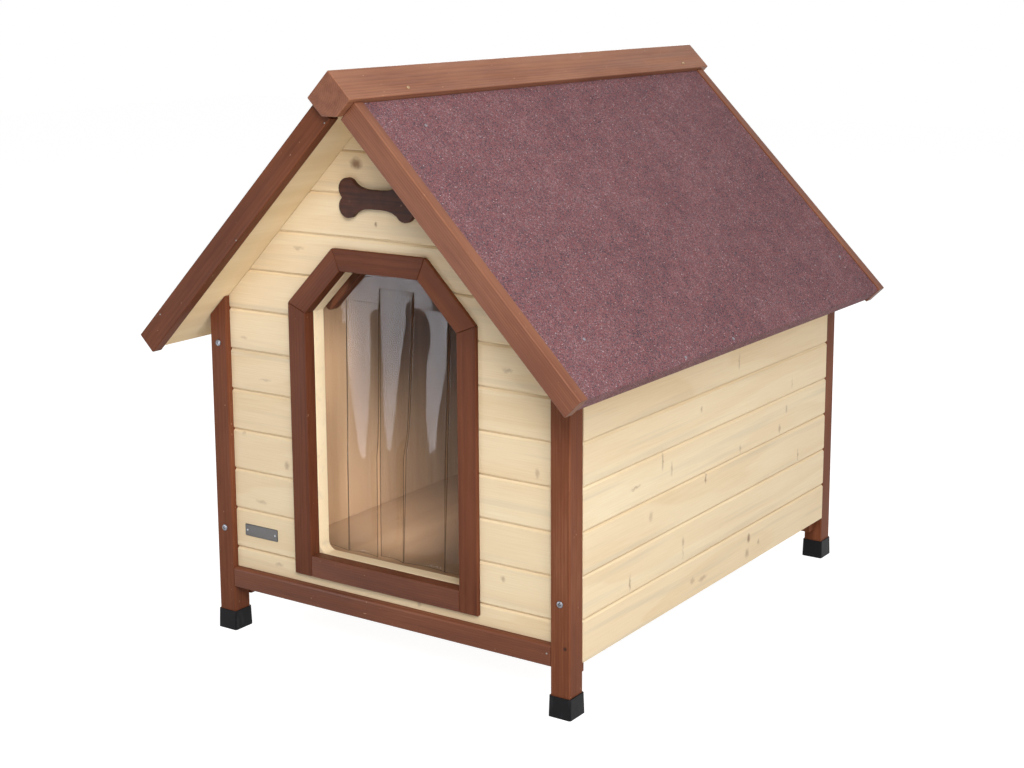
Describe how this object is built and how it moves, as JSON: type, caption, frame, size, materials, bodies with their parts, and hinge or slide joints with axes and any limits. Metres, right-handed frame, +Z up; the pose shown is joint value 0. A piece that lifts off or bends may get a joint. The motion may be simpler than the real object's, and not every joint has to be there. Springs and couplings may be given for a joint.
{
  "type": "dog house",
  "caption": "wooden dog house with a gable roof, an arched doorway closed by a clear strip curtain, tongue-and-groove board walls, felted roof and short capped legs",
  "frame": {"origin": "on the ground, under the middle of the whole outline", "axes": "X across the front (right as one looks at the doorway), +Y to the back, +Z up"},
  "size_m": [0.773, 0.996, 0.869],
  "materials": {
    "stained_wood": "stained, satin",
    "natural_boards": "clear varnish, satin",
    "inner_panels": "bare, matt",
    "foot_cap": "moulded black",
    "roofing_felt": "bitumen felt with mineral granules",
    "clear_pvc": "clear flexible plastic",
    "dark_wood": "dark stained, satin"
  },
  "bodies": {
    "house": {"front_left_post": "stained_wood", "front_left_foot_cap": "foot_cap", "front_left_batten": "stained_wood", "front_right_post": "stained_wood", "front_right_foot_cap": "foot_cap", "front_right_batten": "stained_wood", "front_bottom_rail": "stained_wood", "rear_left_post": "stained_wood", "rear_left_foot_cap": "foot_cap", "rear_left_batten": "stained_wood", "rear_right_post": "stained_wood", "rear_right_foot_cap": "foot_cap", "rear_right_batten": "stained_wood", "rear_bottom_rail": "stained_wood", "front_bottom_board": "natural_boards", "front_left_boards": "natural_boards", "front_right_boards": "natural_boards", "front_gable_boards": "natural_boards", "rear_wall_boards": "natural_boards", "left_wall_boards": "natural_boards", "right_wall_boards": "natural_boards", "front_inner_panel": "inner_panels", "rear_inner_panel": "inner_panels", "left_inner_panel": "inner_panels", "right_inner_panel": "inner_panels", "left_floor_bearer": "inner_panels", "right_floor_bearer": "inner_panels", "floor_panel": "inner_panels", "door_frame_left_jamb": "stained_wood", "door_frame_left_brace": "stained_wood", "curtain_clamp_left": "stained_wood", "door_frame_right_jamb": "stained_wood", "door_frame_right_brace": "stained_wood", "curtain_clamp_right": "stained_wood", "door_frame_head": "stained_wood", "door_frame_sill": "stained_wood", "curtain_clamp_head": "stained_wood", "curtain_header": "clear_pvc", "bone_ornament": "dark_wood", "left_roof_deck": "natural_boards", "left_roof_felt": "roofing_felt", "front_left_barge_board": "stained_wood", "rear_left_barge_board": "stained_wood", "right_roof_deck": "natural_boards", "right_roof_felt": "roofing_felt", "front_right_barge_board": "stained_wood", "rear_right_barge_board": "stained_wood", "ridge_beam": "stained_wood"},
    "strip_1": {"curtain_strip_1": "clear_pvc"},
    "strip_2": {"curtain_strip_2": "clear_pvc"},
    "strip_3": {"curtain_strip_3": "clear_pvc"},
    "strip_4": {"curtain_strip_4": "clear_pvc"},
    "strip_5": {"curtain_strip_5": "clear_pvc"}
  },
  "joints": [
    {"name": "strip_1_swing", "type": "hinge", "parent": "house", "child": "strip_1", "pos_m": [-0.124, -0.3585, 0.4957], "axis": [1, 0, 0], "range_deg": [0, 80]},
    {"name": "strip_2_swing", "type": "hinge", "parent": "house", "child": "strip_2", "pos_m": [-0.062, -0.3585, 0.5297], "axis": [1, 0, 0], "range_deg": [-75, 80]},
    {"name": "strip_3_swing", "type": "hinge", "parent": "house", "child": "strip_3", "pos_m": [0, -0.3585, 0.5517], "axis": [1, 0, 0], "range_deg": [-75, 80]},
    {"name": "strip_4_swing", "type": "hinge", "parent": "house", "child": "strip_4", "pos_m": [0.062, -0.3585, 0.5297], "axis": [1, 0, 0], "range_deg": [-75, 80]},
    {"name": "strip_5_swing", "type": "hinge", "parent": "house", "child": "strip_5", "pos_m": [0.124, -0.3585, 0.4957], "axis": [1, 0, 0], "range_deg": [0, 80]}
  ]
}
